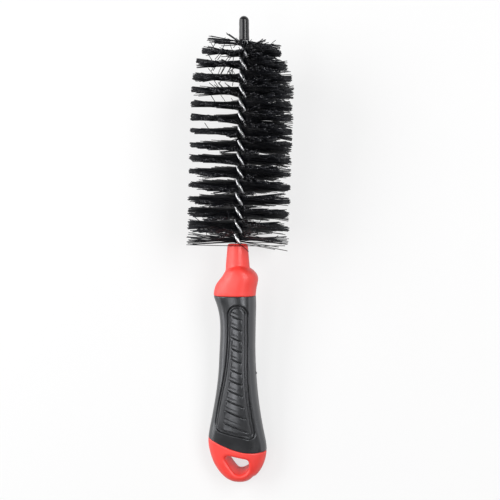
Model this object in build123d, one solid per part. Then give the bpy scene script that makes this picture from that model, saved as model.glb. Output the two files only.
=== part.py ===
"""Wheel brush: a twisted-wire bottle-type brush head set in a two-colour hand grip.

The brush is built upright in its own brush frame and laid down at the end:
    X  across the handle, Y  along the handle from butt to tip, Z  out of the handle's face,
    Y = 0  at the mouth of the handle's neck, where the twisted stem comes out.
All sizes are in millimetres and all angles in degrees.
"""
from build123d import *
import math
import os

# ---------------------------------------------------------------- handle, overall
HANDLE_LENGTH = 136.0        # neck mouth to butt end
MOUTH_RADIUS = 5.75          # neck at its mouth
NECK_RADIUS = 6.85           # neck where it meets the shoulder
NECK_LENGTH = 13.0           # mouth to the shoulder's crest
MOUTH_ROUNDING = 1.1
SECTION_POWER = 2.4          # superellipse power of the oval sections: 2 is an ellipse
SECTION_POINTS = 20
SMALLEST_SECTION = 2.0       # an inset body leaves out sections less than this many insets deep

# Shoulder: (distance from the mouth, left half width, right half width, half depth).
# Its crest starts inside the neck and its left side slopes away lower than its right.
SHOULDER_STATIONS = [
    (12.2, -0.2, 1.6, 5.4),
    (12.9, 2.2, 3.9, 7.2),
    (14.0, 4.4, 7.0, 8.8),
    (15.7, 6.9, 9.4, 9.8),
    (17.6, 8.0, 10.9, 10.3),
    (19.8, 9.6, 11.6, 10.45),
    (22.4, 11.7, 11.3, 10.5),
    (25.6, 13.1, 10.6, 10.5),
]
GRIP_TOP = 29.6              # mouth to the upper edge of the rubber grip

# Waist and belly: (share of the way from grip top to belly, left, right, half depth).
BELLY_FROM_BUTT = 22.0       # butt end to the widest place
WAIST_STATIONS = [
    (0.00, 13.5, 10.25, 10.3),
    (0.05, 12.1, 10.4, 10.1),
    (0.12, 10.5, 10.3, 9.8),
    (0.22, 9.8, 10.1, 9.5),
    (0.36, 10.2, 10.0, 9.4),
    (0.52, 10.9, 10.5, 9.6),
    (0.68, 12.6, 11.7, 9.8),
    (0.84, 15.1, 13.7, 9.7),
    (0.94, 16.7, 15.4, 9.3),
    (1.00, 17.0, 16.4, 8.8),
]

# Butt: a half ellipse in plan, swung a little to the right, that thins towards the eye.
BUTT_HALF_WIDTH = 16.8
BUTT_SWING = 1.2             # sideways shift of the butt's end
BUTT_HALF_DEPTH = 8.8        # at the belly
EYE_HALF_DEPTH = 8.2         # around the hanging eye
BUTT_THINNING = 1.2          # how soon the butt reaches that depth: 1 is at its very end
BUTT_EDGE_POWER = 14         # how suddenly the butt's edge is rounded off
BUTT_LAST_TURN = 88.0        # the last section's place on the half ellipse, short of its end at 90
BUTT_STATIONS = 6

# ---------------------------------------------------------------- rubber grip
GRIP_THICKNESS = 2.0
# The grip's lower edge, from its left side to its right: (X, height above the butt end).
GRIP_END = [(-19.0, 26.2), (-7.5, 21.7), (3.0, 18.5), (11.0, 17.9), (19.0, 19.1)]

# Ribbed panel on both faces, from the grip's top edge down:
# (share of the panel's side, left half width, right half width).
PANEL_TOP = 4.5              # grip top to the top of the panel's arch
PANEL_ARCH = 5.2             # height of that arch
PANEL_CORNER_LEFT = 30.2     # butt end to the panel's lower left corner
PANEL_CORNER_RIGHT = 24.6    # ... and to its lower right corner
PANEL_SIDES = [
    (0.00, 4.2, 7.8),
    (0.28, 4.8, 7.7),
    (0.55, 7.0, 8.0),
    (0.80, 10.6, 9.9),
    (1.00, 12.5, 12.4),
]
PANEL_ARCH_SHIFT = 1.6       # the arch's top, to the right of the centre line
PANEL_ROUNDING_LEFT = 5.0
PANEL_ROUNDING_RIGHT = 3.4
SMALLEST_ROUNDING = 0.4
GROOVE_WIDTH = 0.8
RELIEF_DEPTH = 0.55          # of the groove and of the ribs' step lines
RIM_WIDTH = 2.0              # plain band between the groove and the ribs

RIB_COUNT = 11
RIB_SPACING = 6.1
RIB_SLOPE = 20.0             # the step lines run down to the right
RIB_STEP_WIDTH = 1.0
FIRST_RIB = 11.6             # grip top to the first step line, on the centre line
LAST_RIB_DROP = 1.3          # the last rib is this much longer than the others

# ---------------------------------------------------------------- hanging eye
EYE_TOP_LEFT = (-8.1, 16.5)  # corners before rounding: (X, height above the butt end)
EYE_TOP_RIGHT = (7.5, 13.8)
EYE_BOTTOM = (7.4, -5.2)
EYE_CORNER_RADIUS = 1.8
EYE_BOTTOM_RADIUS = 4.9
EYE_RIM_ROUNDING = 1.1
EYE_DRAFT = 1.0
EYE_RIM_HEIGHT = 0.8         # the eye's rims lie above this share of EYE_HALF_DEPTH

# ---------------------------------------------------------------- twisted stem
WIRE_DIAMETER = 2.0
FILL_GAP = 0.5               # packed filaments hold the two wires this far apart
TWIST_PITCH = 15.2           # left-hand, one full turn
STEM_IN_HANDLE = 36.0
STEM_LEAN = 1.9              # the stem leaves the neck a little askew, to the right
BORE_CLEARANCE = 0.05        # round the stem, in the handle and in the cap
WIRE_END_SHARE = 0.3         # room for the wires' slanted ends in their holes, in wire diameters

# ---------------------------------------------------------------- brush head
FILL_START = 0.4             # neck mouth to the first filaments
ROW_COUNT = 15               # rows that can be counted on one side: half a turn each
FILL_PHASE = 49.0            # direction of the first filaments about the stem, from +X
BRISTLE_RADIUS = 28.5
ROW_HALF_ANGLE = 28.0        # the fan of filaments either side of its row's direction
WEB_CLEARANCE = 0.05         # packed filaments to each wire
TAPERED_ROWS = 4             # rows at the tip that are trimmed shorter
TIP_TRIM = 6.5               # how much shorter the last one is

# ---------------------------------------------------------------- tip cap
CAP_GAP = 0.5                # last filaments to the cap
CAP_LENGTH = 13.1
CAP_WALL = 0.45
CAP_FLARE = 0.15
CAP_END_WALL = 2.0

# ---------------------------------------------------------------- rest pose
LEVELLING_STEPS = 6          # repeats that settle the angle at which the brush lies

# ---------------------------------------------------------------- worked out
half_pitch = TWIST_PITCH / 2
strand_orbit = (WIRE_DIAMETER + FILL_GAP) / 2
stem_radius = strand_orbit + WIRE_DIAMETER / 2
bore_radius = stem_radius + BORE_CLEARANCE
wire_end_room = WIRE_END_SHARE * WIRE_DIAMETER
fill_end = FILL_START + ROW_COUNT * half_pitch
cap_start = fill_end + CAP_GAP
cap_end = cap_start + CAP_LENGTH
cap_bore_end = cap_end - CAP_END_WALL
stem_end = cap_bore_end - wire_end_room
cap_radius = bore_radius + CAP_WALL
belly_at = HANDLE_LENGTH - BELLY_FROM_BUTT
grip_run = belly_at - GRIP_TOP


# ---------------------------------------------------------------- handle body
def oval_section(distance, left, right, half_depth):
    """Closed superellipse face across the handle, at a distance below the mouth."""
    half_width = (left + right) / 2
    centre = (right - left) / 2
    corner = 2 / SECTION_POWER
    points = []
    for i in range(SECTION_POINTS):
        angle = 2 * math.pi * i / SECTION_POINTS
        c = math.cos(angle)
        s = math.sin(angle)
        x = centre + half_width * math.copysign(abs(c) ** corner, c)
        z = half_depth * math.copysign(abs(s) ** corner, s)
        points.append((x, -distance, z))
    return Face(Wire(Spline(*points, periodic=True)))


def body_stations():
    """Every (distance, left, right, half depth) of the body, from shoulder to butt."""
    stations = list(SHOULDER_STATIONS)
    for share, left, right, half_depth in WAIST_STATIONS:
        stations.append((GRIP_TOP + share * grip_run, left, right, half_depth))
    for i in range(1, BUTT_STATIONS + 1):
        turn = math.radians(BUTT_LAST_TURN * i / BUTT_STATIONS)
        along = math.sin(turn)
        half_width = BUTT_HALF_WIDTH * math.cos(turn)
        swing = BUTT_SWING * along
        thinned = BUTT_HALF_DEPTH - (BUTT_HALF_DEPTH - EYE_HALF_DEPTH) * min(1, BUTT_THINNING * along)
        half_depth = thinned * math.sqrt(1 - along ** BUTT_EDGE_POWER)
        distance = belly_at + BELLY_FROM_BUTT * along
        stations.append((distance, half_width - swing, half_width + swing, half_depth))
    return stations


def body(inset=0.0):
    """Oval body of the handle, without the neck, moved inwards by the inset."""
    sections = []
    smallest = SMALLEST_SECTION * inset
    for distance, left, right, half_depth in body_stations():
        if inset and (left + right < 2 * smallest or half_depth < smallest):
            continue
        sections.append(oval_section(distance, left - inset, right - inset, half_depth - inset))
    return loft(sections)


def neck():
    """Round, slightly conical neck with a rounded mouth, running on into the shoulder."""
    root = NECK_LENGTH + MOUTH_RADIUS
    with BuildPart() as part:
        with BuildSketch(Plane.XY):
            with BuildLine():
                Polyline((0, 0), (MOUTH_RADIUS, 0), (NECK_RADIUS, -NECK_LENGTH),
                         (NECK_RADIUS, -root), (0, -root), (0, 0))
            make_face()
        revolve(axis=Axis.Y)
        fillet(part.edges().group_by(Axis.Y)[-1], MOUTH_ROUNDING)
    return part.part


def eye():
    """Rounded triangular hanging eye, drafted from the mould's parting plane both ways."""
    corners = [(x, rise - HANDLE_LENGTH) for x, rise in (EYE_TOP_LEFT, EYE_TOP_RIGHT, EYE_BOTTOM)]
    triangle = make_face(Polyline(*corners, close=True))
    triangle = fillet(triangle.vertices().sort_by(Axis.Y)[0], EYE_BOTTOM_RADIUS)
    triangle = fillet(triangle.vertices().sort_by(Axis.Y)[-2:], EYE_CORNER_RADIUS)
    front = extrude(triangle, 2 * BUTT_HALF_DEPTH, taper=-EYE_DRAFT)
    return front + mirror(front, Plane.XY)


def pierced_body():
    """Body with the hanging eye through its butt and the eye's rims rounded."""
    pierced = body() - eye()
    butt_end = -HANDLE_LENGTH + EYE_RIM_ROUNDING
    near_eye = pierced.edges().filter_by_position(Axis.Y, butt_end, -belly_at)
    rims = [edge for edge in near_eye if abs(edge.center().Z) > EYE_RIM_HEIGHT * EYE_HALF_DEPTH]
    return fillet(rims, EYE_RIM_ROUNDING)


# ---------------------------------------------------------------- rubber grip
def grip_zone():
    """Slab that holds the whole grip, between its straight top and its curved lower edge."""
    top = -GRIP_TOP
    lower = [(x, rise - HANDLE_LENGTH) for x, rise in GRIP_END]
    left, right = lower[0], lower[-1]
    sides = Polyline(right, (right[0], top), (left[0], top), left)
    return extrude(make_face(Spline(*lower) + sides), BRISTLE_RADIUS, both=True)


def panel_outline(inset=0.0):
    """Ribbed panel's outline, an arch that widens to a slanted foot, moved in by the inset."""
    side_top = -GRIP_TOP - PANEL_TOP - PANEL_ARCH
    foot_left = PANEL_CORNER_LEFT - HANDLE_LENGTH + inset
    foot_right = PANEL_CORNER_RIGHT - HANDLE_LENGTH + inset
    left = [(inset - l, side_top + share * (foot_left - side_top)) for share, l, r in PANEL_SIDES]
    right = [(r - inset, side_top + share * (foot_right - side_top)) for share, l, r in PANEL_SIDES]
    arch = ThreePointArc(left[0], (PANEL_ARCH_SHIFT, side_top + PANEL_ARCH - inset), right[0])
    face = make_face(arch + Spline(*right) + Line(right[-1], left[-1]) + Spline(*left))
    low_right = face.vertices().sort_by(Axis.Y)[0]
    face = fillet(low_right, max(SMALLEST_ROUNDING, PANEL_ROUNDING_RIGHT - inset))
    low_left = face.vertices().sort_by(Axis.X)[0]
    return fillet(low_left, max(SMALLEST_ROUNDING, PANEL_ROUNDING_LEFT - inset))


def rib_lines(field):
    """Slanted step lines across the field, one under each shingle-like rib."""
    lines = Sketch()
    drops = [i * RIB_SPACING for i in range(RIB_COUNT)]
    drops[-1] += LAST_RIB_DROP
    for drop in drops:
        place = Pos(0, -GRIP_TOP - FIRST_RIB - drop) * Rot(0, 0, -RIB_SLOPE)
        lines += place * Rectangle(HANDLE_LENGTH, RIB_STEP_WIDTH)
    return lines & field


def relief(sketch):
    """Cutter that sinks a sketch into both faces of the grip to an even depth."""
    return extrude(sketch, BRISTLE_RADIUS, both=True) - body(RELIEF_DEPTH)


def handle():
    """Red core and rubber grip; the core fills the inside of the grip exactly."""
    zone = grip_zone()
    outer = pierced_body()
    blank = (outer & zone) - (body(GRIP_THICKNESS) & zone)
    core = outer + neck() - blank - stem_bore()

    groove = panel_outline() - panel_outline(GROOVE_WIDTH)
    ribs = rib_lines(panel_outline(GROOVE_WIDTH + RIM_WIDTH))
    grip = blank - relief(groove) - relief(ribs)
    return core, grip


# ---------------------------------------------------------------- stem, fill and cap
# These are made about the Z axis, tip up, and turned onto the handle's Y axis by on_stem().
def on_stem(shape):
    """Turn a shape from the Z axis onto the stem's own, slightly leaning axis."""
    return Rot(0, 0, -STEM_LEAN) * Rot(-90, 0, 0) * shape


def twist_at(height):
    """Direction about the stem of the filaments at a height above the neck's mouth."""
    return FILL_PHASE - 360 * (height - FILL_START) / TWIST_PITCH


def stem_bore():
    """Blind hole in the neck for the stem, open at the mouth."""
    depth = STEM_IN_HANDLE + wire_end_room
    hole = Cylinder(bore_radius, depth + MOUTH_RADIUS, align=(Align.CENTER, Align.CENTER, Align.MIN))
    return on_stem(Pos(0, 0, -depth) * hole)


def wire_strand(side):
    """One of the two galvanised wires, wound left-handed a quarter turn aside of the fill."""
    length = STEM_IN_HANDLE + stem_end
    path = Helix(TWIST_PITCH, length, strand_orbit, lefthand=True)
    section = Plane(origin=path @ 0, z_dir=path % 0) * Circle(WIRE_DIAMETER / 2)
    strand = sweep(section, path, is_frenet=True)
    start_angle = twist_at(-STEM_IN_HANDLE) + 90 * side
    return on_stem(Pos(0, 0, -STEM_IN_HANDLE) * Rot(0, 0, start_angle) * strand)


def row_radius(row):
    """Reach of a row's filaments; the rows by the tip are trimmed to a round end."""
    from_tip = ROW_COUNT - 1 - row
    share = max(0, TAPERED_ROWS - from_tip) / TAPERED_ROWS
    return BRISTLE_RADIUS - TIP_TRIM * share ** 2


def bristle_row(row):
    """Half a turn of the filament spiral: two fans joined by the web between the wires."""
    reach = row_radius(row)
    web = FILL_GAP / 2 - WEB_CLEARANCE
    slope = math.radians(ROW_HALF_ANGLE)
    root = (web / math.tan(slope), web)
    end = (reach * math.cos(slope), reach * math.sin(slope))
    fan = Line(root, end) + ThreePointArc(end, (reach, 0), (end[0], -end[1])) \
        + Line((end[0], -end[1]), (root[0], -root[1]))
    bow_tie = make_face(fan + mirror(fan, Plane.YZ)
                        + Line(root, (-root[0], root[1])) + Line((root[0], -root[1]), (-root[0], -root[1])))
    guide = Helix(TWIST_PITCH, half_pitch, reach, lefthand=True)
    spiral = sweep(bow_tie, Line((0, 0, 0), (0, 0, half_pitch)), binormal=guide)
    foot = FILL_START + row * half_pitch
    return on_stem(Pos(0, 0, foot) * Rot(0, 0, twist_at(foot)) * spiral)


def tip_cap():
    """Soft plastic cap pushed over the wires' ends, with a round nose and a flared rim."""
    nose_base = cap_end - cap_radius
    flare_radius = cap_radius + CAP_FLARE
    with BuildPart() as part:
        with BuildSketch(Plane.XZ):
            with BuildLine():
                wall = Polyline((0, cap_bore_end), (bore_radius, cap_bore_end), (bore_radius, cap_start),
                                (flare_radius, cap_start), (cap_radius, cap_start + cap_radius),
                                (cap_radius, nose_base))
                RadiusArc(wall @ 1, (0, cap_end), -cap_radius)
                Line((0, cap_end), wall @ 0)
            make_face()
        revolve(axis=Axis.Z)
    return on_stem(part.part)


# ---------------------------------------------------------------- assembly
def lowest(shapes, pitch):
    """Lowest point of some shapes once the brush is pitched tip up."""
    return min((Rot(pitch, 0, 0) * shape).bounding_box().min.Z for shape in shapes)


def lay_down(parts):
    """Lay the brush on the floor, face up, resting on its butt and its lowest bristles.

    The origin goes to the middle of the brush's footprint, on the floor.
    """
    head = [parts["bristle_row_01"], parts["bristle_row_02"]]
    butt = [parts["handle_core"]]
    pitch = 0.0
    for _ in range(LEVELLING_STEPS):
        rise = lowest(butt, pitch) - lowest(head, pitch)
        pitch += math.degrees(math.atan(rise / belly_at))
    laid = {name: Rot(pitch, 0, 0) * shape for name, shape in parts.items()}
    boxes = [shape.bounding_box() for shape in laid.values()]
    low_x, high_x = min(box.min.X for box in boxes), max(box.max.X for box in boxes)
    low_y, high_y = min(box.min.Y for box in boxes), max(box.max.Y for box in boxes)
    floor = min(box.min.Z for box in boxes)
    place = Pos(-(low_x + high_x) / 2, -(low_y + high_y) / 2, -floor)
    print(f"laid down tip up by {pitch:.3f} degrees, neck mouth at {place.position}")
    return {name: place * shape for name, shape in laid.items()}


def main():
    core, grip = handle()
    parts = {"handle_core": core, "grip_sleeve": grip}
    parts["wire_strand_a"] = wire_strand(1)
    parts["wire_strand_b"] = wire_strand(-1)
    parts["tip_cap"] = tip_cap()
    for row in range(ROW_COUNT):
        parts[f"bristle_row_{row + 1:02d}"] = bristle_row(row)

    os.makedirs("parts", exist_ok=True)
    for name, shape in lay_down(parts).items():
        export_step(shape, f"parts/{name}.step")


main()
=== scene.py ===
import math

import bpy
import numpy as np
from mathutils import Matrix, Vector


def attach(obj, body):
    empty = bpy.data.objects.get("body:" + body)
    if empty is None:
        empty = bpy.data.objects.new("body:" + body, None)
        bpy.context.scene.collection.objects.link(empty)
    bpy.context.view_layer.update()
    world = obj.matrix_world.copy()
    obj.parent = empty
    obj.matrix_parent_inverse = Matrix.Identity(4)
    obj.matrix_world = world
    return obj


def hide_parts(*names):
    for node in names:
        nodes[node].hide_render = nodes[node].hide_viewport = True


# Looks of the wheel brush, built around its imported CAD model.
#
# Shapes are worked out in the brush's own frame, in millimetres: X across the handle,
# Y along it towards the tip, Z out of its face, and the origin at the neck's mouth.
# to_world() lays them down onto the CAD model, in metres.

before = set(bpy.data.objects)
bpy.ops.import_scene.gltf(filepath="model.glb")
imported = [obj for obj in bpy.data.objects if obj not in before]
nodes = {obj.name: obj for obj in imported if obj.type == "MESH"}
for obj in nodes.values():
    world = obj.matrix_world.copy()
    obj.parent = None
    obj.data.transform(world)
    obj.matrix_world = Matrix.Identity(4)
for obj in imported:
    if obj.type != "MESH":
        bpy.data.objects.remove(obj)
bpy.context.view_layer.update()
dice = np.random.default_rng(20815)
hair_dice = np.random.default_rng(477)
MM = 0.001
TINY = 1e-12                 # keeps a division by a line's length from failing

# ---------------------------------------------------------------- sizes, in mm and degrees
HANDLE_LENGTH = 136.0
GRIP_TOP = 29.6              # neck mouth to the grip's upper edge
BELLY_AT = 114.0             # neck mouth to the widest place
BUTT_HALF_WIDTH = 16.8
BUTT_SWING = 1.2             # how far the butt's end lies to the right
BUTT_HALF_DEPTH = 8.8
EYE_HALF_DEPTH = 8.2
BUTT_THINNING = 1.2          # how soon the butt has thinned to the eye's depth
BUTT_EDGE_POWER = 14
BUTT_SECTIONS = 3            # sections of the butt that the grip's surface needs
BUTT_SECTION_TURN = 14.667   # from one of them to the next
SECTION_POWER = 2.4          # superellipse power of the handle's sections

# The handle's outside: (distance from the neck mouth, left half width, right half width, half depth).
SHOULDER = [(22.4, 11.7, 11.3, 10.5), (25.6, 13.1, 10.6, 10.5)]
# The same under the grip, with the distance as a share of the run from GRIP_TOP to BELLY_AT.
WAIST = [
    (0.00, 13.5, 10.25, 10.3), (0.05, 12.1, 10.4, 10.1), (0.12, 10.5, 10.3, 9.8),
    (0.22, 9.8, 10.1, 9.5), (0.36, 10.2, 10.0, 9.4), (0.52, 10.9, 10.5, 9.6),
    (0.68, 12.6, 11.7, 9.8), (0.84, 15.1, 13.7, 9.7), (0.94, 16.7, 15.4, 9.3),
    (1.00, 17.0, 16.4, 8.8),
]
# The grip's lower edge: (X, height above the butt's end).
GRIP_END = [(-19.0, 26.2), (-7.5, 21.7), (3.0, 18.5), (11.0, 17.9), (19.0, 19.1)]
GRIP_COLUMNS = 232
GRIP_ROWS = 396
COLUMN_CROWDING = 0.2        # how much closer together the columns stand on the two faces
END_GUESS = 86.0             # first guess of the grip's length, which END_ROUNDS rounds refine
END_ROUNDS = 4
GRIP_EDGE = 0.4              # rounding of the grip's two ends
EDGE_RINGS = (0, 0.12, 0.3, 0.6)   # rings across that rounding, in shares of it
GRIP_INSIDE = 1.95           # how far its inside lies under its outside
INSIDE_RINGS = 24
RELIEF_FACING = (0.25, 0.5)  # the relief fades out where the surface turns away from the face
SEAM_HEIGHT = 0.12           # mould seam along the handle's sides
SEAM_HALF_WIDTH = 0.5
NUB_AT = 73.5                # neck mouth to the nub on the grip's right side
NUB_SIZE = 0.7
NUB_HEIGHT = 0.6

PANEL_TOP = 4.5              # grip's upper edge to the panel's arch
PANEL_ARCH = 5.2             # the arch's height
PANEL_ARCH_SHIFT = 1.6       # its peak lies this far to the right
PANEL_FOOT_LEFT = 30.2       # butt's end to the panel's lower corners
PANEL_FOOT_RIGHT = 24.6
# The panel's sides from the arch down: (share of their run, left half width, right half width).
PANEL_SIDES = [(0.00, 4.2, 7.8), (0.28, 4.8, 7.7), (0.55, 7.0, 8.0), (0.80, 10.6, 9.9), (1.00, 12.5, 12.4)]
PANEL_RUN_ON = 1.1           # the sides are followed this far, as a share of their run
PANEL_ROUNDING_LEFT = 5.0
PANEL_ROUNDING_RIGHT = 3.4
OUTLINE_STEPS = 40           # points along the arch and along each side
CORNER_STEPS = 12
CORNER_CHORD = 6             # a side's direction at its corner comes from this many of its last points
GROOVE_CENTRE = 0.45         # the groove's middle, in from the outline
GROOVE_HALF_WIDTH = 0.58
GROOVE_DEPTH = 1.2
INNER_LINE_AT = 1.85         # a second line, further in
INNER_LINE_HALF_WIDTH = 0.45
INNER_LINE_DEPTH = 0.65

RIB_COUNT = 11
RIB_SPACING = 6.1
RIB_SLOPE = math.tan(math.radians(21.0))   # the step lines fall to the right
FIRST_RIB = 11.6             # grip's upper edge to the first step line, on the centre line
LAST_RIB_DROP = 1.3          # the last step line lies this much further down
LAST_RIB_DEPTH = 0.45        # ... the slope below it is this share as deep as a rib
LAST_RIB_RUN = 0.8           # ... and has faded out at this share of the spacing
FIRST_RIB_RISE = (-0.5, -0.3)   # above the first step line it fades in over this stretch, in ribs
RIB_GAP_LEFT = (2.5, 7.0)    # panel's edge to the ribs, at the panel's top and foot
RIB_GAP_RIGHT = (3.8, 4.1)
RIB_ENDS_LEFT = (-1.1, 0.5)  # the ribs' relief fades in over this stretch about their left ends
RIB_ENDS_RIGHT = (-0.2, 0.35)   # ... and out over this one about their right ends
RIB_DEPTH = (0.34, 0.2)      # at their left and right ends
RIB_NOTCH = (0.85, 1.1)      # how deep the step lines are cut, at their left and right ends
RIB_NOTCH_HALF_WIDTH = 0.075
# One rib from step line to step line: (share of the spacing, height in rib depths).
RIB_PROFILE = [
    (0.00, -1.00), (0.05, -0.90), (0.45, -0.35), (0.73, -0.05), (0.92, 0.12), (0.965, 0.05), (1.00, -1.00),
]
RIB_LINE_AT = 0.65           # a second, finer line on each rib, which fades to the right
RIB_LINE_DEPTH = 0.16
RIB_LINE_HALF_WIDTH = 0.065
RIB_SLANT = 0.2              # how much deeper the ribs lie at their left ends

WIRE_RADIUS = 1.0
STRAND_ORBIT = 1.25          # stem's axis to each wire's
WIRE_SIDES = 20
WIRE_STEPS = 26              # rings of a wire in half a turn
STEM_IN_HANDLE = 36.0
STEM_END = 125.4

FILL_START = 0.4
FILL_PHASE = 49.0            # the filaments' direction about the stem there, in degrees
ROW_COUNT = 15
BRISTLE_REACH = 29.2
TIP_TRIM = 7.4               # how much shorter the filaments are where the head is trimmed round
TRIM_FROM = 85.0             # height at which that trim begins
TRIM_RUN = 24.0              # ... and the further height over which it grows
TRIM_RUN_ON = 1.05           # ... going on to this share of that
TRIM_SKEW = 2.0              # how much lower it begins on the right
FILAMENT_RADIUS = 0.2
FILAMENT_SIDES = 4
FILAMENT_RINGS = 5
FILAMENTS_PER_FAN = 220
FLOOR_CLEARANCE = 0.3        # filaments are lifted this far off the floor
# The fill is thin at both of its ends: (height, share of the filaments that are there).
FILL_DENSITY = [
    (0.4, 0.22), (4.0, 0.36), (9.0, 0.6), (13.5, 1.0),
    (109.2, 1.0), (110.8, 0.58), (113.6, 0.3), (114.2, 0.2),
]
FULLER_RIGHT = 0.6           # how much less thin it is on the right of the tip
# (height, how far the filaments stray in their rise, in degrees, on the left and on the right)
FILL_RISE = [
    (0.4, 3.0, 3.0), (6.0, 2.2, 2.2), (12.0, 1.1, 1.1), (20.0, 0.85, 0.9),
    (40.0, 0.75, 1.0), (50.0, 0.65, 1.4), (75.0, 0.65, 2.1), (84.0, 0.7, 2.1),
    (92.0, 1.05, 2.1), (104.0, 1.2, 2.1), (110.0, 1.6, 2.2), (113.5, 3.4, 2.6),
]
TIP_SWING = 46.0             # the topmost filaments have swung on round the stem by up to this much
TIP_SWING_RUN = (102.0, 112.5)   # the heights over which they come to it
TIP_DROOP = 8.0              # ... and on the right they droop by up to this much
TIP_DROOP_RUN = (108.0, 113.5)
TUFT_SIZE = 6                # neighbouring filaments that lean the same way
TUFT_RISE = 1.6              # tufts stray in their rise by this many times what FILL_RISE says
SINGLE_RISE = 0.8            # ... and each filament within its tuft by this many times
TUFT_SPREAD = 5.0            # standard deviation of the tufts' direction about the stem
AROUND_SPREAD = 3.5          # ... and of each filament's within its tuft
AROUND_LIMIT = 22            # no filament strays further than this about the stem
LENGTH_SPREAD = 0.024        # share of their reach by which tufts vary in length
SINGLE_LENGTH = 0.6          # ... and each filament within its tuft by this many times that
SHORT_SHARE = 0.12           # share of the filaments that are shorter than the rest
SHORT_LENGTHS = (0.78, 0.97)   # ... and their lengths as shares of the others'
TUFT_BEND = 0.4              # how far tufts are bent aside at their ends
SINGLE_BEND = 0.25           # ... and each filament within its tuft

# Filaments bent across the gaps, row by row from the handle.
BENT_HAIRS = [7, 5, 2, 1, 2, 1, 2, 6, 4, 3, 8, 16, 18, 20, 20]
BENT_AROUND = 12             # how far they stray about the stem, in degrees
BENT_START = (5, 20)         # how far out they leave their row
BENT_TILT = (25, 60)         # how much they lean towards the tip or the handle, in degrees
BENT_LENGTH = (3.0, 8.5)
BENT_SAG = 0.2
BENT_FORWARD = 0.8           # share of them that lean towards the tip
BENT_BACK_FROM = 12          # from this row on, counted from 0, most lean towards the handle
BENT_FORWARD_AT_TIP = 0.2    # ... and only this share towards the tip
# More of them on the left near the tip, by row counted from 0: how many there are, and the least
# and the greatest tilt towards the tip in degrees.
CROSSING_HAIRS = {11: (6, 28, 46), 13: (6, -68, -48), 14: (7, -66, -46)}
CROSSING_AROUND = 14         # they point this many degrees or less away from straight left
CROSSING_START = (4.0, 15.0)   # how far out the first and the last of them leave their row
CROSSING_STRAY = 0.6         # ... give or take this much
CROSSING_LENGTH = (5.0, 8.0)
FINE_STEPS = 400             # heights tried in a row to find where it points left
# Loose filaments by the neck's mouth.
LOOSE_FILAMENTS = [
    [(-28.4, -0.7, 6.2), (0.0, -1.1, 6.35), (28.2, -0.9, 6.1)],
    [(1.5, 0.2, 5.0), (4.4, -1.6, 6.0), (7.2, -4.4, 4.6)],
]

CAP_START = 114.4
CAP_END = 128.0
CAP_RADIUS = 2.75
CAP_BORE = 2.3
CAP_CLOSED = 2.0             # plastic beyond the end of the bore
CAP_AXIS = 0.02              # the bore's end stops this close to the axis
CAP_FLARE = 0.15             # how much wider the cap is at its rim
CAP_RIM_EDGE = (0.12, 0.14)  # the rim's blunted outer edge: inward and up
CAP_RIM_BEAD = (0.1, 0.02)   # the bead round its bore: outward and down
CAP_SIDE_GAP = 0.3           # the side's points keep this far from the rim and the nose
CAP_SIDES = 56
CAP_SIDE_STEPS = 36
CAP_NOSE_STEPS = 14
CAP_NOSE_TURN = 89           # the rounded nose ends just short of the axis, in degrees
CAP_WAVE = 0.035             # its side is slightly wavy, as dipped plastic sets over wire
CAP_WAVES = 2.6
CAP_LEAN = 0.55              # how far the cap's end leans to the left


# ---------------------------------------------------------------- small tools
def mesh_points(mesh):
    """A mesh's vertices as an array, one row each."""
    points = np.empty(len(mesh.vertices) * 3)
    mesh.vertices.foreach_get("co", points)
    return points.reshape(-1, 3)


def unit(vectors):
    """Vectors scaled to length 1."""
    return vectors / np.linalg.norm(vectors, axis=-1, keepdims=True)


def eased(value, low, high):
    """0 below low, 1 above high and a smooth rise between."""
    t = np.clip((value - low) / (high - low), 0, 1)
    return t * t * (3 - 2 * t)


def between(value, rising, falling):
    """0 outside a stretch and 1 inside it, with a smooth rise and fall at its ends."""
    return eased(value, *rising) * (1 - eased(value, *falling))


def mix(pair, share):
    """Value a share of the way from the first of a pair to the second."""
    return pair[0] + (pair[1] - pair[0]) * share


def hollow(distance, centre, half_width):
    """Cross-section of a rounded line: 1 at its centre and 0 outside it."""
    t = np.clip(np.abs(distance - centre) / half_width, 0, 1)
    return (1 - t * t) ** 2


def natural_spline(knots, values, at):
    """Natural cubic spline through (knot, value) points; the values may have several columns."""
    knots = np.asarray(knots, float)
    values = np.asarray(values, float).reshape(len(knots), -1)
    gap = np.diff(knots)
    slope = np.diff(values, axis=0) / gap[:, None]
    count = len(knots)
    system = np.eye(count)
    right = np.zeros_like(values)
    for i in range(1, count - 1):
        system[i, i - 1:i + 2] = (gap[i - 1], 2 * (gap[i - 1] + gap[i]), gap[i])
        right[i] = 6 * (slope[i] - slope[i - 1])
    bend = np.linalg.solve(system, right)
    at = np.asarray(at, float)
    part = np.clip(np.searchsorted(knots, at) - 1, 0, count - 2)
    u, v = at - knots[part], knots[part + 1] - at
    h = gap[part]
    result = (bend[part] * (v ** 3 / (6 * h))[..., None] + bend[part + 1] * (u ** 3 / (6 * h))[..., None]
              + (values[part] - bend[part] * (h ** 2 / 6)[..., None]) * (v / h)[..., None]
              + (values[part + 1] - bend[part + 1] * (h ** 2 / 6)[..., None]) * (u / h)[..., None])
    return result


# ---------------------------------------------------------------- frame
def volume_centre(name):
    """Centre of a CAD node's volume."""
    mesh = nodes[name].data
    mesh.calc_loop_triangles()
    corners = np.empty(len(mesh.loop_triangles) * 3, np.int32)
    mesh.loop_triangles.foreach_get("vertices", corners)
    a, b, c = mesh_points(mesh)[corners.reshape(-1, 3)].transpose(1, 0, 2)
    volumes = np.einsum("ij,ij->i", a, np.cross(b, c)) / 6
    return ((a + b + c) / 4 * volumes[:, None]).sum(0) / volumes.sum()


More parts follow.
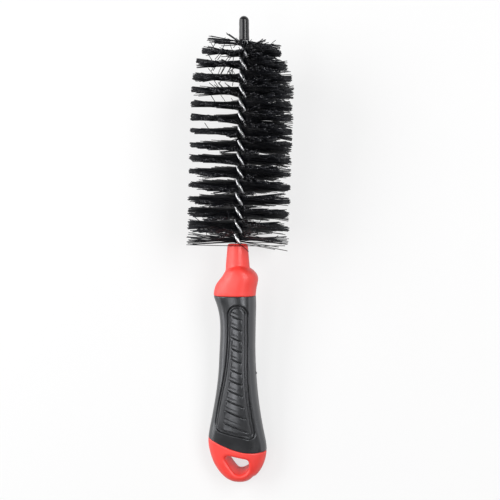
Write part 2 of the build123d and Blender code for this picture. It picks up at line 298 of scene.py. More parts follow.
ROWS_APART = 10
row_centre = volume_centre("bristle_row_01")
stem_run = volume_centre("bristle_row_11") - row_centre
half_pitch = np.linalg.norm(stem_run) / ROWS_APART / MM
stem_axis = unit(stem_run)
pitch = math.atan2(stem_axis[2], stem_axis[1])
lean = math.asin(stem_axis[0])
mouth = row_centre - stem_axis * (FILL_START + half_pitch / 2) * MM
laid = np.array(Matrix.Rotation(pitch, 3, "X"))


def to_world(points):
    """Brush frame in mm to the CAD model's frame in metres."""
    return mouth + (np.asarray(points) @ laid.T) * MM


def to_brush(points):
    """The CAD model's frame in metres to the brush frame in mm."""
    return ((np.asarray(points) - mouth) / MM) @ laid


def about_stem(angle, radius, height):
    """Brush frame points at an angle and radius about the stem, at a height above the mouth."""
    x = radius * np.cos(angle)
    z = -radius * np.sin(angle)
    return np.stack([x * math.cos(lean) + height * math.sin(lean),
                     height * math.cos(lean) - x * math.sin(lean), z + 0 * height], -1)


def twist_at(height):
    """Direction of the filaments about the stem at a height, in radians."""
    return math.radians(FILL_PHASE) - math.pi * (height - FILL_START) / half_pitch


def lean_tip(points, height):
    """Points of the stem's end, leant to the left inside the cap and with it."""
    share = np.clip((height - CAP_START) / (CAP_END - CAP_START), 0, 1)
    return points - CAP_LEAN * share[..., None] * np.array([1.0, 0.0, 0.0])


# ---------------------------------------------------------------- meshes
def add_piece(name, points, faces, material, node):
    """A smooth-shaded piece that stands for a CAD node, from brush frame points."""
    mesh = bpy.data.meshes.new(name)
    mesh.from_pydata(to_world(points).tolist(), [], faces)
    mesh.validate()
    piece = bpy.data.objects.new(name, mesh)
    finish_piece(piece, material, node)
    return piece


def finish_piece(piece, material, node):
    """Give a piece its material and tie it to the CAD."""
    if piece.name not in bpy.context.scene.collection.objects:
        bpy.context.scene.collection.objects.link(piece)
    piece.data.polygons.foreach_set("use_smooth", [True] * len(piece.data.polygons))
    piece.data.materials.clear()
    piece.data.materials.append(material)
    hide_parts(node)
    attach(piece, "root")


def tubes(lines, normals, radius, sides):
    """Points and faces of closed tubes round centre lines, given as arrays (tube, ring, 3)."""
    count, rings = lines.shape[:2]
    along = unit(np.gradient(lines, axis=1))
    normals = unit(normals - (normals * along).sum(-1, keepdims=True) * along)
    across = np.cross(along, normals)
    turn = np.arange(sides) * 2 * math.pi / sides
    ring = normals[:, :, None] * np.cos(turn)[:, None] + across[:, :, None] * np.sin(turn)[:, None]
    points = (lines[:, :, None] + radius * ring).reshape(-1, 3)
    index = np.arange(count * rings * sides).reshape(count, rings, sides)
    after = np.roll(index, -1, 2)
    quads = np.stack([index[:, :-1], after[:, :-1], after[:, 1:], index[:, 1:]], -1).reshape(-1, 4)
    faces = quads.tolist() + index[:, 0, ::-1].tolist() + index[:, -1].tolist()
    return points, faces


def revolved(profile, sides):
    """Points about the stem and faces of a closed ring-shaped profile of (radius, height)."""
    profile = np.array(profile)
    angle = np.arange(sides) * 2 * math.pi / sides
    points = about_stem(angle[:, None], profile[None, :, 0], profile[None, :, 1])
    count = len(profile)
    index = np.arange(sides * count).reshape(sides, count)
    side, along = np.roll(index, -1, 0), np.roll(index, -1, 1)
    both = np.roll(side, -1, 1)
    return points, np.stack([index, along, both, side], -1).reshape(-1, 4).tolist()


# ---------------------------------------------------------------- materials
def new_material(name):
    """A node material with its shader, ready to be wired."""
    material = bpy.data.materials.new(name)
    material.use_nodes = True
    shader = material.node_tree.nodes["Principled BSDF"]
    return material, material.node_tree, shader


def noise(tree, scale, detail):
    """Noise over object space; the scale is in features per metre."""
    place = tree.nodes.new("ShaderNodeTexCoord")
    texture = tree.nodes.new("ShaderNodeTexNoise")
    texture.inputs["Scale"].default_value = scale
    texture.inputs["Detail"].default_value = detail
    tree.links.new(place.outputs["Object"], texture.inputs["Vector"])
    return texture.outputs["Fac"]


def spread(tree, value, low, high, start=0.3, end=0.7):
    """A value from start to end turned into one from low to high."""
    ramp = tree.nodes.new("ShaderNodeMapRange")
    ramp.inputs["From Min"].default_value = start
    ramp.inputs["From Max"].default_value = end
    ramp.inputs["To Min"].default_value = low
    ramp.inputs["To Max"].default_value = high
    tree.links.new(value, ramp.inputs["Value"])
    return ramp.outputs["Result"]


def blend_colours(tree, value, first, second, start=0.3, end=0.7):
    """Colour that goes from the first to the second as the value goes from start to end."""
    ramp = tree.nodes.new("ShaderNodeValToRGB")
    ramp.color_ramp.elements[0].position = start
    ramp.color_ramp.elements[0].color = (*first, 1)
    ramp.color_ramp.elements[1].position = end
    ramp.color_ramp.elements[1].color = (*second, 1)
    tree.links.new(value, ramp.inputs["Fac"])
    return ramp.outputs["Color"]


def bump(tree, shader, heights, depth):
    """Bump of a given depth, in metres, from a height value."""
    node = tree.nodes.new("ShaderNodeBump")
    node.inputs["Strength"].default_value = 1.0
    node.inputs["Distance"].default_value = depth
    tree.links.new(heights, node.inputs["Height"])
    tree.links.new(node.outputs["Normal"], shader.inputs["Normal"])


def surface_material(name, colours, roughness, patches, grain, depth,
                     mottle=None, each=None, specular=0.5, tint=(1, 1, 1), metallic=0.0):
    """A material that mixes two colours and has an uneven roughness and a fine relief.

    mottle, patches and grain are the noises behind these three, as (features per metre, detail),
    and depth is the relief's, in metres. In place of mottle, each gives every filament its own
    mix, by a random value that goes from the first colour to the second over that range.
    """
    material, tree, shader = new_material(name)
    if each:
        geometry = tree.nodes.new("ShaderNodeNewGeometry")
        colour = blend_colours(tree, geometry.outputs["Random Per Island"], *colours, *each)
    else:
        colour = blend_colours(tree, noise(tree, *mottle), *colours)
    tree.links.new(colour, shader.inputs["Base Color"])
    tree.links.new(spread(tree, noise(tree, *patches), *roughness), shader.inputs["Roughness"])
    shader.inputs["Metallic"].default_value = metallic
    shader.inputs["Specular IOR Level"].default_value = specular
    shader.inputs["Specular Tint"].default_value = (*tint, 1)
    bump(tree, shader, noise(tree, *grain), depth)
    return material


RED_PLASTIC = surface_material(
    "red_plastic", colours=((0.90, 0.042, 0.032), (0.97, 0.056, 0.042)), mottle=(60, 4),
    roughness=(0.40, 0.50), patches=(220, 5), grain=(2600, 3), depth=0.000012, specular=0.8,
)
GRIP_RUBBER = surface_material(
    "grip_rubber", colours=((0.013, 0.0135, 0.0145), (0.021, 0.0215, 0.023)), mottle=(90, 4),
    roughness=(0.27, 0.34), patches=(300, 5), grain=(4200, 3), depth=0.00001, specular=0.9,
    tint=(0.93, 0.95, 1.0),
)
GALVANISED_WIRE = surface_material(
    "galvanised_wire", colours=((0.70, 0.71, 0.73), (0.92, 0.93, 0.94)), mottle=(900, 5),
    roughness=(0.28, 0.46), patches=(1500, 4), grain=(2500, 3), depth=0.00001, metallic=1.0,
)
CAP_PLASTIC = surface_material(
    "cap_plastic", colours=((0.012, 0.012, 0.013), (0.02, 0.02, 0.022)), mottle=(200, 3),
    roughness=(0.14, 0.26), patches=(500, 3), grain=(700, 2), depth=0.00003,
)
FILAMENT = surface_material(
    "filament", colours=((0.0025, 0.0028, 0.004), (0.011, 0.012, 0.017)), each=(0.0, 1.0),
    roughness=(0.36, 0.55), patches=(400, 3), grain=(3000, 2), depth=0.000008, specular=0.28,
)
# The filaments' cut ends, lighter than their sides on about half of them, by a random amount each.
FILAMENT_ENDS = surface_material(
    "filament_ends", colours=((0.02, 0.02, 0.024), (0.22, 0.22, 0.24)), each=(0.45, 1.0),
    roughness=(0.5, 0.8), patches=(4000, 3), grain=(9000, 2), depth=0.00001,
)


# ---------------------------------------------------------------- handle core
CORE_VOXEL = 0.4
CORE_SMOOTHING = 4           # rounds of smoothing everywhere
CORE_SOFTENING = 16          # ... and more of them away from the grip's ends
EDGE_KEEP = 1.0              # no softening this near the grip's ends
EDGE_BLEND = 3.0             # ... growing to full over this much more
WEIGHT_LEVELS = 10           # ... in this many steps
EYE_FLOOR_RISE = 3.4         # how far the eye's lower wall has risen at the back
EYE_FLOOR_X = ((-4.0, 6.5), (8.5, 11.0))   # X over which the rise begins and ends
EYE_FLOOR_HEIGHT = ((1.0, 4.6), (7.5, 15.0))   # ... and heights above the butt's end


def evaluated(piece):
    """A piece's mesh with its modifiers applied."""
    graph = bpy.context.evaluated_depsgraph_get()
    return bpy.data.meshes.new_from_object(piece.evaluated_get(graph))


def grip_end_at(x):
    """Y of the grip's lower edge."""
    knots, rise = zip(*GRIP_END)
    return natural_spline(knots, rise, np.clip(x, knots[0], knots[-1]))[..., 0] - HANDLE_LENGTH


def slope_eye_floor(points):
    """Let the eye's lower wall rise towards the back; the rims stay round."""
    x, y, z = points.T
    back = np.clip((EYE_HALF_DEPTH - z) / (2 * EYE_HALF_DEPTH), 0, 1)
    beside = between(x, *EYE_FLOOR_X)
    along = between(y + HANDLE_LENGTH, *EYE_FLOOR_HEIGHT)
    return points + EYE_FLOOR_RISE * (back * beside * along)[:, None] * np.array([0.0, 1.0, 0.0])


def handle_core():
    """The red core: the CAD shape with the soft creases and rims of a moulding."""
    piece = bpy.data.objects.new("red_handle", nodes["handle_core"].data.copy())
    bpy.context.scene.collection.objects.link(piece)
    remesh = piece.modifiers.new("remesh", "REMESH")
    remesh.mode = "VOXEL"
    remesh.voxel_size = CORE_VOXEL * MM
    first = evaluated(piece)
    piece.modifiers.clear()
    piece.data = first
    group = piece.vertex_groups.new(name="soft")
    points = to_brush(mesh_points(first))
    ends = grip_end_at(points[:, 0])
    far = np.minimum(np.abs(points[:, 1] + GRIP_TOP), np.abs(points[:, 1] - ends))
    weights = np.clip((far - EDGE_KEEP) / EDGE_BLEND, 0, 1)
    for level in range(1, WEIGHT_LEVELS + 1):
        chosen = np.nonzero(np.ceil(weights * WEIGHT_LEVELS) == level)[0]
        group.add(chosen.tolist(), level / WEIGHT_LEVELS, "REPLACE")
    smooth = piece.modifiers.new("smooth", "SMOOTH")
    smooth.iterations = CORE_SMOOTHING
    soften = piece.modifiers.new("soften", "SMOOTH")
    soften.iterations = CORE_SOFTENING
    soften.vertex_group = "soft"
    last = evaluated(piece)
    piece.modifiers.clear()
    shaped = to_world(slope_eye_floor(to_brush(mesh_points(last))))
    last.vertices.foreach_set("co", shaped.ravel())
    piece.data = last
    piece.vertex_groups.clear()
    finish_piece(piece, RED_PLASTIC, "handle_core")


# ---------------------------------------------------------------- grip
def handle_sections():
    """(distance, left, right, half depth) of every section that the grip needs."""
    rows = list(SHOULDER)
    run = BELLY_AT - GRIP_TOP
    rows += [(GRIP_TOP + share * run, left, right, depth) for share, left, right, depth in WAIST]
    for i in range(1, BUTT_SECTIONS + 1):
        turn = math.radians(i * BUTT_SECTION_TURN)
        along = math.sin(turn)
        half = BUTT_HALF_WIDTH * math.cos(turn)
        thinned = BUTT_HALF_DEPTH - (BUTT_HALF_DEPTH - EYE_HALF_DEPTH) * min(1, BUTT_THINNING * along)
        distance = BELLY_AT + (HANDLE_LENGTH - BELLY_AT) * along
        rows.append((distance, half - BUTT_SWING * along, half + BUTT_SWING * along,
                     thinned * math.sqrt(1 - along ** BUTT_EDGE_POWER)))
    return np.array(rows)


def body_surface(y, turn, inset):
    """Points of the handle's oval body at a Y and a turn round its section."""
    rows = handle_sections()
    sizes = natural_spline(rows[:, 0], rows[:, 1:], -y) - np.asarray(inset)[..., None]
    left, right, depth = sizes[..., 0], sizes[..., 1], sizes[..., 2]
    corner = 2 / SECTION_POWER
    c, s = np.cos(turn), np.sin(turn)
    x = (right - left) / 2 + (right + left) / 2 * np.sign(c) * np.abs(c) ** corner
    z = depth * np.sign(s) * np.abs(s) ** corner
    return np.stack([x, y + 0 * x, z], -1)


def panel_sides_at(y):
    """(left, right) half widths of the panel and the share of its sides' run, at a Y."""
    top = -GRIP_TOP - PANEL_TOP - PANEL_ARCH
    share, left, right = zip(*PANEL_SIDES)
    left_share = np.clip((top - y) / (top - PANEL_FOOT_LEFT + HANDLE_LENGTH), 0, PANEL_RUN_ON)
    right_share = np.clip((top - y) / (top - PANEL_FOOT_RIGHT + HANDLE_LENGTH), 0, PANEL_RUN_ON)
    return (natural_spline(share, left, left_share)[..., 0],
            natural_spline(share, right, right_share)[..., 0], right_share)


def rounded_corner(before, corner, after, radius):
    """Points of an arc that rounds the corner between two straight runs."""
    before, corner, after = (np.array(p, float) for p in (before, corner, after))
    a, b = unit(before - corner), unit(after - corner)
    half = math.acos(float(a @ b)) / 2
    centre = corner + unit(a + b) * radius / math.sin(half)
    first = corner + a * radius / math.tan(half) - centre
    last = corner + b * radius / math.tan(half) - centre
    start = math.atan2(first[1], first[0])
    sweep = (math.atan2(last[1], last[0]) - start + math.pi) % (2 * math.pi) - math.pi
    angles = start + sweep * np.linspace(0, 1, CORNER_STEPS)
    return centre + radius * np.stack([np.cos(angles), np.sin(angles)], -1)


def panel_outline():
    """The ribbed panel's outline as a fine closed polygon, from its arch round to its left foot."""
    top = -GRIP_TOP - PANEL_TOP - PANEL_ARCH
    share, left, right = zip(*PANEL_SIDES)
    a, b, c = np.array([(-left[0], top), (PANEL_ARCH_SHIFT, top + PANEL_ARCH), (right[0], top)])
    centre = np.linalg.solve(2 * np.array([b - a, c - a]), [b @ b - a @ a, c @ c - a @ a])
    radius = np.linalg.norm(a - centre)
    start = math.atan2(*(a - centre)[::-1])
    end = math.atan2(*(c - centre)[::-1])
    if start < 0:
        start += 2 * math.pi
    angles = np.linspace(start, end, OUTLINE_STEPS)
    arch = centre + radius * np.stack([np.cos(angles), np.sin(angles)], -1)

    run = np.linspace(0, 1, OUTLINE_STEPS)
    foot_left, foot_right = PANEL_FOOT_LEFT - HANDLE_LENGTH, PANEL_FOOT_RIGHT - HANDLE_LENGTH
    right_side = np.stack([natural_spline(share, right, run)[:, 0], top + run * (foot_right - top)], -1)
    left_side = np.stack([-natural_spline(share, left, run)[:, 0], top + run * (foot_left - top)], -1)
    near_right, near_left = right_side[-CORNER_CHORD], left_side[-CORNER_CHORD]
    low_right = rounded_corner(near_right, right_side[-1], left_side[-1], PANEL_ROUNDING_RIGHT)
    low_left = rounded_corner(right_side[-1], left_side[-1], near_left, PANEL_ROUNDING_LEFT)
    right_side = right_side[right_side[:, 1] > low_right[0, 1]]
    left_side = left_side[left_side[:, 1] > low_left[-1, 1]]
    return np.concatenate([arch, right_side[1:], low_right, low_left, left_side[:0:-1]])


def distance_inside(points, outline):
    """Distance from points to a closed polygon, positive inside it."""
    nearest = np.full(len(points), np.inf)
    inside = np.zeros(len(points), bool)
    x, y = points.T
    for p, q in zip(outline, np.roll(outline, -1, 0)):
        run = q - p
        share = np.clip(((points - p) @ run) / max(run @ run, TINY), 0, 1)
        away = points - p - share[:, None] * run
        nearest = np.minimum(nearest, np.einsum("ij,ij->i", away, away))
        crosses = (p[1] > y) != (q[1] > y)
        rise = q[1] - p[1] if q[1] != p[1] else 1.0
        inside ^= crosses & (x < p[0] + (y - p[1]) * run[0] / rise)
    return np.where(inside, 1, -1) * np.sqrt(nearest)


def ribs_passed(distance):
    """Step lines passed at a distance below the grip's upper edge, with the share of the next rib."""
    drops = FIRST_RIB + RIB_SPACING * np.arange(RIB_COUNT)
    drops[-1] += LAST_RIB_DROP
    before = np.minimum(0, distance - drops[0]) / RIB_SPACING
    after = np.maximum(0, distance - drops[-1]) / RIB_SPACING
    return np.interp(distance, drops, np.arange(RIB_COUNT)) + before + after


def grip_relief(x, y):
    """Height of the grip's relief, on either face, above its smooth surface."""
    flat = np.stack([x.ravel(), y.ravel()], -1)
    depth_in = distance_inside(flat, panel_outline()).reshape(x.shape)
    height = -GROOVE_DEPTH * hollow(depth_in, GROOVE_CENTRE, GROOVE_HALF_WIDTH)
    height -= INNER_LINE_DEPTH * hollow(depth_in, INNER_LINE_AT, INNER_LINE_HALF_WIDTH)

    left, right, share = panel_sides_at(y)
    low = -left + mix(RIB_GAP_LEFT, share)
    high = right - mix(RIB_GAP_RIGHT, share)
    across = np.clip((x - low) / (high - low), 0, 1)
    ribs = ribs_passed(-y - GRIP_TOP - RIB_SLOPE * x)
    part = ribs - np.floor(ribs)
    last = RIB_COUNT - 1
    fade = 1 - eased(ribs, last, last + LAST_RIB_RUN)
    knots, levels = zip(*RIB_PROFILE)
    profile = np.where(ribs < last, np.interp(part, knots, levels), -LAST_RIB_DEPTH * fade)
    depth = mix(RIB_DEPTH, across)
    notch = mix(RIB_NOTCH, across) * hollow(ribs - np.round(ribs), 0, RIB_NOTCH_HALF_WIDTH)
    notch *= np.round(ribs) <= last
    line = RIB_LINE_DEPTH * (1 - across) * hollow(part, RIB_LINE_AT, RIB_LINE_HALF_WIDTH)
    line *= ribs < last
    slant = RIB_SLANT * (1 - across) ** 2 * fade

    held = eased(x, *(low + end for end in RIB_ENDS_LEFT))
    held *= 1 - eased(x, *(high + end for end in RIB_ENDS_RIGHT))
    held *= eased(ribs, *FIRST_RIB_RISE) * (depth_in > 0)
    return height + held * (depth * profile - notch - line - slant)


def nub(surface):
    """1 at the small moulding nub on the grip's right side, fading to 0 round it."""
    along = (surface[..., 1] + NUB_AT) / NUB_SIZE
    away = surface[..., 2] / NUB_SIZE
    return np.exp(-along ** 2 - away ** 2) * (surface[..., 0] > 0)


def grip_sleeve():
    """The rubber grip, with its panel of shingle-like ribs on both faces."""
    even = np.arange(GRIP_COLUMNS) * 2 * math.pi / GRIP_COLUMNS
    turn = even + COLUMN_CROWDING * np.sin(2 * even)
    ends = np.full(GRIP_COLUMNS, -GRIP_TOP - END_GUESS)
    for _ in range(END_ROUNDS):
        ends = grip_end_at(body_surface(ends, turn, 0)[:, 0])
    length = -GRIP_TOP - ends
    near = np.repeat(GRIP_EDGE * np.array(EDGE_RINGS)[:, None], GRIP_COLUMNS, 1)
    middle = GRIP_EDGE + np.linspace(0, 1, GRIP_ROWS)[:, None] * (length - 2 * GRIP_EDGE)
    down = np.concatenate([near, middle, length - near[::-1]])
    into_edge = np.maximum(0, GRIP_EDGE - np.minimum(down, length - down))
    rounding = GRIP_EDGE - np.sqrt(np.maximum(0, GRIP_EDGE ** 2 - into_edge ** 2))
    outside = body_surface(-GRIP_TOP - down, turn, rounding)

    around = np.roll(outside, -1, 1) - np.roll(outside, 1, 1)
    normal = unit(np.cross(around, -np.gradient(outside, axis=0)))
    normal *= np.sign((normal * outside)[..., [0, 2]].sum(-1, keepdims=True))
    facing = eased(np.abs(normal[..., 2]), *RELIEF_FACING)
    lift = grip_relief(outside[..., 0], outside[..., 1]) * facing
    lift += NUB_HEIGHT * nub(outside)
    lift += SEAM_HEIGHT * hollow(outside[..., 2], 0, SEAM_HALF_WIDTH)
    outside = outside + normal * lift[..., None]

    inside_y = -GRIP_TOP - length * np.linspace(1, 0, INSIDE_RINGS)[:, None]
    points = np.concatenate([outside, body_surface(inside_y, turn, GRIP_INSIDE)])
    count = len(points)
    index = np.arange(count * GRIP_COLUMNS).reshape(count, GRIP_COLUMNS)
    below, beside = np.roll(index, -1, 0), np.roll(index, -1, 1)
    faces = np.stack([index, below, np.roll(below, -1, 1), beside], -1).reshape(-1, 4).tolist()
    add_piece("rubber_grip", points.reshape(-1, 3), faces, GRIP_RUBBER, "grip_sleeve")


# ---------------------------------------------------------------- twisted stem
def wire_strand(letter, side):
    """One galvanised wire, wound about the stem a quarter turn aside of the filaments."""
    height = np.arange(-STEM_IN_HANDLE, STEM_END, half_pitch / WIRE_STEPS)
    angle = twist_at(height) + side * math.pi / 2
    line = about_stem(angle, STRAND_ORBIT, height)[None]
    away = line - about_stem(angle, 0, height)[None]
    points, faces = tubes(lean_tip(line, height), away, WIRE_RADIUS, WIRE_SIDES)
    name, node = f"twisted_wire_{letter}", f"wire_strand_{letter}"
    add_piece(name, points, faces, GALVANISED_WIRE, node)


# ---------------------------------------------------------------- filaments
def reach_at(height, angle):
    """Reach of the filaments at a height and a direction: the head's tip is trimmed round."""
    over = (height + TRIM_SKEW * np.cos(angle) - TRIM_FROM) / TRIM_RUN
    return BRISTLE_REACH - TIP_TRIM * np.clip(over, 0, TRIM_RUN_ON) ** 2


def tip_swing(height):
    """How far the filaments at a height have swung on round the stem, in degrees."""
    return TIP_SWING * eased(height, *TIP_SWING_RUN)


def filament_lines(height, angle, rise, reach, bend):
    """Centre lines and side vectors of filaments that leave the stem at an angle and a rise."""
    steps = np.linspace(0, 1, FILAMENT_RINGS)
    origin = about_stem(angle, 0.0, height)
    out = unit(about_stem(angle, np.cos(rise), height + np.sin(rise)) - origin)
    side = unit(np.cross(out, about_stem(angle, 0.0, height + 1) - origin))
    up = np.cross(side, out)
    lines = origin[:, None] + out[:, None] * (reach[:, None] * steps)[..., None]
    curve = side * bend[:, :1] + up * bend[:, 1:]
    lines = lines + curve[:, None] * (steps ** 2)[:, None]
    return lines, np.repeat(side[:, None], FILAMENT_RINGS, 1)


def keep_off_floor(lines):
    """Lift the filaments' points that would go into the floor."""
    world = to_world(lines)
    world[..., 2] = np.maximum(world[..., 2], (FLOOR_CLEARANCE + FILAMENT_RADIUS) * MM)
    return to_brush(world)


def fan(foot, side):
    """Centre lines and side vectors of half a turn of filaments on one side of the stem."""
    count = FILAMENTS_PER_FAN
    height = foot + half_pitch * (np.arange(count) + dice.uniform(0, 1, count)) / count
    tufts = dice.normal(0, 1, (count // TUFT_SIZE + 1, 5))[np.arange(count) // TUFT_SIZE]
    tuft_rise, tuft_length, tuft_around = tufts[:, :3].T
    around = AROUND_SPREAD * dice.normal(0, 1, count) + TUFT_SPREAD * tuft_around
    around = np.clip(around, -AROUND_LIMIT, AROUND_LIMIT)
    angle = twist_at(height) + math.pi * side + np.radians(around - tip_swing(height))

    at, on_left, on_right = zip(*FILL_RISE)
    to_right = np.clip(np.cos(angle), 0, 1)
    loose = np.interp(height, at, on_left) * (1 - to_right) + np.interp(height, at, on_right) * to_right
    droop = TIP_DROOP * to_right * eased(height, *TIP_DROOP_RUN)
    rise = np.radians(loose * (TUFT_RISE * tuft_rise + dice.normal(0, SINGLE_RISE, count)) - droop)

    shorter = np.abs(dice.normal(0, SINGLE_LENGTH, count) + tuft_length)
    reach = reach_at(height, angle) * (1 - LENGTH_SPREAD * shorter)
    short = dice.uniform(0, 1, count) < SHORT_SHARE
    reach[short] *= dice.uniform(*SHORT_LENGTHS, short.sum())
    bend = dice.normal(0, SINGLE_BEND, (count, 2)) + tufts[:, 3:] * TUFT_BEND

    fuller = FULLER_RIGHT * to_right * (height > TRIM_FROM)
    share = np.interp(height, *zip(*FILL_DENSITY)) ** (1 - fuller)
    there = dice.uniform(0, 1, count) < share
    return filament_lines(height[there], angle[there], rise[there], reach[there], bend[there])


def leaning_hairs(height, angle, start, tilt, length, sag=0.0):
    """Centre lines and side vectors of filaments that leave their row at a tilt, some way out."""
    steps = np.linspace(0, 1, FILAMENT_RINGS)
    inner = about_stem(angle, start, height)
    outer = about_stem(angle, start + length * np.cos(tilt), height + length * np.sin(tilt))
    side = unit(np.cross(outer - inner, about_stem(angle, start, height + 1) - inner))
    lines = inner[:, None] + (outer - inner)[:, None] * steps[:, None]
    lines = lines + side[:, None] * (sag * np.sin(math.pi * steps))[..., None]
    return lines, np.repeat(side[:, None], FILAMENT_RINGS, 1)


def bent_hairs(foot, count, forward):
    """A few filaments of a row that were bent out of it and cross the gap beside it."""
    height = foot + half_pitch * dice.uniform(0, 1, count)
    angle = twist_at(height) + math.pi * dice.integers(0, 2, count)
    angle += np.radians(dice.normal(0, BENT_AROUND, count))
    start = dice.uniform(*BENT_START, count)
    tilt = dice.uniform(*BENT_TILT, count)
    tilt = np.radians(tilt * np.where(dice.uniform(0, 1, count) < forward, 1, -1))
    length = dice.uniform(*BENT_LENGTH, count)
    sag = dice.normal(0, BENT_SAG, (count, 1))
    return leaning_hairs(height, angle, start, tilt, length, sag)


def crossing_hairs(foot, count, least, greatest):
    """More such filaments on the left of the stem, with the least and greatest tilt in degrees."""
    height = foot + half_pitch * np.linspace(0, 1, FINE_STEPS)
    row_angle = twist_at(height) - np.radians(tip_swing(height))
    on_left = np.nonzero(np.abs(np.sin(row_angle)) < math.sin(math.radians(CROSSING_AROUND)))[0]
    height = height[hair_dice.choice(on_left, count)]
    angle = math.pi + np.radians(hair_dice.uniform(-CROSSING_AROUND, CROSSING_AROUND, count))
    start = np.linspace(*CROSSING_START, count) + hair_dice.normal(0, CROSSING_STRAY, count)
    tilt = np.radians(hair_dice.uniform(least, greatest, count))
    length = hair_dice.uniform(*CROSSING_LENGTH, count)
    return leaning_hairs(height, angle, start, tilt, length)


def loose_filament(points):
    """A loose filament through given brush frame points."""
    line = natural_spline(np.linspace(0, 1, len(points)), points, np.linspace(0, 1, FILAMENT_RINGS))
    return line[None], np.broadcast_to((0.0, 0.0, 1.0), (1, FILAMENT_RINGS, 3))


def bristle_row(row):
    """Half a turn of filaments on both sides of the stem, with its strays."""
    foot = FILL_START + row * half_pitch
    forward = BENT_FORWARD if row < BENT_BACK_FROM else BENT_FORWARD_AT_TIP
    bundles = [fan(foot, 0), fan(foot, 1), bent_hairs(foot, BENT_HAIRS[row], forward)]
    if row == 0:
        bundles += [loose_filament(points) for points in LOOSE_FILAMENTS]
    if row in CROSSING_HAIRS:
        bundles.append(crossing_hairs(foot, *CROSSING_HAIRS[row]))
    lines = keep_off_floor(np.concatenate([lines for lines, _ in bundles]))
    normals = np.concatenate([sides for _, sides in bundles])
    points, faces = tubes(lines, normals, FILAMENT_RADIUS, FILAMENT_SIDES)
    node = f"bristle_row_{row + 1:02d}"
    piece = add_piece(node + "_filaments", points, faces, FILAMENT, node)
    piece.data.materials.append(FILAMENT_ENDS)
    # the last faces are the filaments' outer ends
    for face in piece.data.polygons[len(faces) - len(lines):]:
        face.material_index = 1
        face.use_smooth = False


# ---------------------------------------------------------------- tip cap
def tip_cap():
    """The soft dipped cap over the wires' ends, a little uneven as such caps are."""
    bore = [(CAP_AXIS, CAP_END - CAP_CLOSED), (CAP_BORE, CAP_END - CAP_CLOSED), (CAP_BORE, CAP_START)]
    widest = CAP_RADIUS + CAP_FLARE
    rim = [(CAP_BORE + CAP_RIM_BEAD[0], CAP_START - CAP_RIM_BEAD[1]),
           (widest - CAP_RIM_EDGE[0], CAP_START), (widest, CAP_START + CAP_RIM_EDGE[1])]
    run = CAP_END - CAP_RADIUS - CAP_START - 2 * CAP_SIDE_GAP
    side = [(CAP_RADIUS + CAP_FLARE * (1 - t) ** 2 + CAP_WAVE * math.sin(CAP_WAVES * 2 * math.pi * t),
             CAP_START + CAP_SIDE_GAP + t * run)
            for t in np.linspace(0, 1, CAP_SIDE_STEPS)]
    nose = [(CAP_RADIUS * math.cos(a), CAP_END - CAP_RADIUS + CAP_RADIUS * math.sin(a))
            for a in np.radians(np.linspace(0, CAP_NOSE_TURN, CAP_NOSE_STEPS))]
    profile = bore + rim + side + nose
    points, faces = revolved(profile, CAP_SIDES)
    points = lean_tip(points, np.array(profile)[:, 1])
    add_piece("soft_tip_cap", points.reshape(-1, 3), faces, CAP_PLASTIC, "tip_cap")


# ---------------------------------------------------------------- stage, light and camera
FLOOR_HALF_WIDTH = 3.0       # in metres
FLOOR_GREY = 0.27            # its own colour, as the lamps light it
FLOOR_GLOW = 0.67            # its added white near the brush, as the camera and reflections see it
FLOOR_GLOW_RUN = (0.4, 1.3)  # ... growing to full white this far out, in metres
WORLD_FILL = 0.15            # light from all round
OVERHEAD_SEEN = 0.1          # the white surroundings look this dim overhead, in reflections
OVERHEAD_RUN = (0.07, 0.34)  # ... dimming over this range of a direction's upward part
# Soft lamps, in metres and watts: (name, place, what it is aimed at, width, length, power).
SOFTBOXES = [
    ("left_softbox", (-0.57, 0.14, 0.59), (0, 0.05, 0.03), 0.42, 0.72, 4.5),
    ("right_softbox", (0.46, 0.13, 0.68), (0, 0.05, 0.03), 0.3, 0.68, 4.6),
    ("overhead_softbox", (-0.17, -0.18, 0.75), (0, -0.05, 0.03), 0.2, 0.24, 0.8),
    ("left_side_softbox", (-0.78, 0.08, 0.15), (0, 0.0, 0.03), 0.24, 0.8, 1.9),
    ("right_side_softbox", (0.78, 0.08, 0.12), (0, 0.0, 0.03), 0.18, 0.8, 0.45),
]
CAMERA_TURN = 11.0           # the camera stands this far round to the right of the brush's face
CAMERA_TILT = 2.3            # ... and this far towards its tip
CAMERA_DISTANCE = 604.5
CAMERA_ASIDE = (-6.98, 3.69)   # how far right and up of the view's middle the neck's mouth lies
LENS_SHARE = 2.1314          # focal length in sensor widths
SENSOR = 36.0
NEAR_CLIP = 0.01             # in metres


def light_path_mask(tree):
    """1 for rays from the camera, from glossy surfaces and through clear ones, 0 for others."""
    path = tree.nodes.new("ShaderNodeLightPath")
    first = tree.nodes.new("ShaderNodeMath")
    first.operation = "MAXIMUM"
    second = tree.nodes.new("ShaderNodeMath")
    second.operation = "MAXIMUM"
    tree.links.new(path.outputs["Is Camera Ray"], first.inputs[0])
    tree.links.new(path.outputs["Is Glossy Ray"], first.inputs[1])
    tree.links.new(first.outputs[0], second.inputs[0])
    tree.links.new(path.outputs["Is Transmission Ray"], second.inputs[1])
    return second.outputs[0]


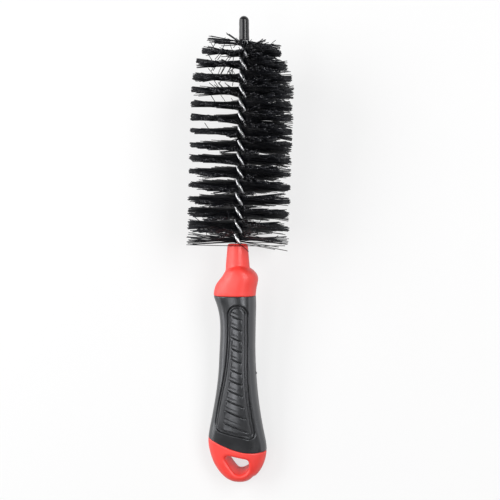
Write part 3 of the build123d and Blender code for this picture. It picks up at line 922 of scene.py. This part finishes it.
def floor():
    """A wide pale floor that keeps the brush's shadow."""
    size = FLOOR_HALF_WIDTH
    corners = [(-size, -size, 0), (size, -size, 0), (size, size, 0), (-size, size, 0)]
    mesh = bpy.data.meshes.new("floor")
    mesh.from_pydata(corners, [], [(0, 1, 2, 3)])
    plane = bpy.data.objects.new("floor", mesh)
    bpy.context.scene.collection.objects.link(plane)
    material, tree, shader = new_material("floor_paper")
    shader.inputs["Base Color"].default_value = (FLOOR_GREY, FLOOR_GREY, FLOOR_GREY, 1)
    shader.inputs["Roughness"].default_value = 1.0
    shader.inputs["Specular IOR Level"].default_value = 0.0
    shader.inputs["Emission Color"].default_value = (1, 1, 1, 1)
    place = tree.nodes.new("ShaderNodeTexCoord")
    away = tree.nodes.new("ShaderNodeVectorMath")
    away.operation = "LENGTH"
    tree.links.new(place.outputs["Object"], away.inputs[0])
    white = spread(tree, away.outputs["Value"], FLOOR_GLOW, 1.0, *FLOOR_GLOW_RUN)
    glow = tree.nodes.new("ShaderNodeMath")
    glow.operation = "MULTIPLY"
    tree.links.new(white, glow.inputs[0])
    tree.links.new(light_path_mask(tree), glow.inputs[1])
    tree.links.new(glow.outputs[0], shader.inputs["Emission Strength"])
    mesh.materials.append(material)


def world_light():
    """White surroundings, dimmer overhead, at a plain level."""
    world = bpy.data.worlds.new("studio")
    bpy.context.scene.world = world
    world.use_nodes = True
    tree = world.node_tree
    background = tree.nodes["Background"]
    background.inputs["Color"].default_value = (1, 1, 1, 1)
    direction = tree.nodes.new("ShaderNodeTexCoord")
    split = tree.nodes.new("ShaderNodeSeparateXYZ")
    tree.links.new(direction.outputs["Generated"], split.inputs[0])
    seen = spread(tree, split.outputs["Z"], 1.0, OVERHEAD_SEEN, *OVERHEAD_RUN)
    blend = tree.nodes.new("ShaderNodeMix")
    blend.data_type = "FLOAT"
    blend.inputs["A"].default_value = WORLD_FILL
    tree.links.new(light_path_mask(tree), blend.inputs["Factor"])
    tree.links.new(seen, blend.inputs["B"])
    tree.links.new(blend.outputs["Result"], background.inputs["Strength"])


def softbox(name, place, target, width, length, power):
    """A soft lamp aimed at a point, with its length along the brush."""
    lamp = bpy.data.lights.new(name, "AREA")
    lamp.shape = "RECTANGLE"
    lamp.size, lamp.size_y = width, length
    lamp.energy = power
    holder = bpy.data.objects.new(name, lamp)
    bpy.context.scene.collection.objects.link(holder)
    back = unit(np.array(place) - np.array(target))
    across = unit(np.cross((0.0, 1.0, 0.0), back))
    turned = np.stack([across, np.cross(back, across), back], -1)
    matrix = Matrix(turned.tolist()).to_4x4()
    matrix.translation = Vector(place)
    holder.matrix_world = matrix
    holder.visible_camera = False


def camera():
    """Camera over the face of the brush."""
    turn, tilt = math.radians(CAMERA_TURN), math.radians(CAMERA_TILT)
    right = np.array([math.cos(turn), 0, -math.sin(turn)])
    up = np.array([-math.sin(tilt) * math.sin(turn), math.cos(tilt), -math.sin(tilt) * math.cos(turn)])
    back = np.cross(right, up)
    place = -CAMERA_ASIDE[0] * right - CAMERA_ASIDE[1] * up + CAMERA_DISTANCE * back
    data = bpy.data.cameras.new("camera")
    data.sensor_width = SENSOR
    data.lens = LENS_SHARE * SENSOR
    data.clip_start = NEAR_CLIP
    holder = bpy.data.objects.new("camera", data)
    bpy.context.scene.collection.objects.link(holder)
    turned = laid @ np.stack([right, up, back], -1)
    matrix = Matrix(turned.tolist()).to_4x4()
    matrix.translation = Vector(to_world(place))
    holder.matrix_world = matrix
    bpy.context.scene.camera = holder


# ---------------------------------------------------------------- the scene
handle_core()
grip_sleeve()
wire_strand("a", 1)
wire_strand("b", -1)
tip_cap()
for row in range(ROW_COUNT):
    bristle_row(row)

floor()
world_light()
for box in SOFTBOXES:
    softbox(*box)
camera()
bpy.context.scene.view_settings.view_transform = "Standard"
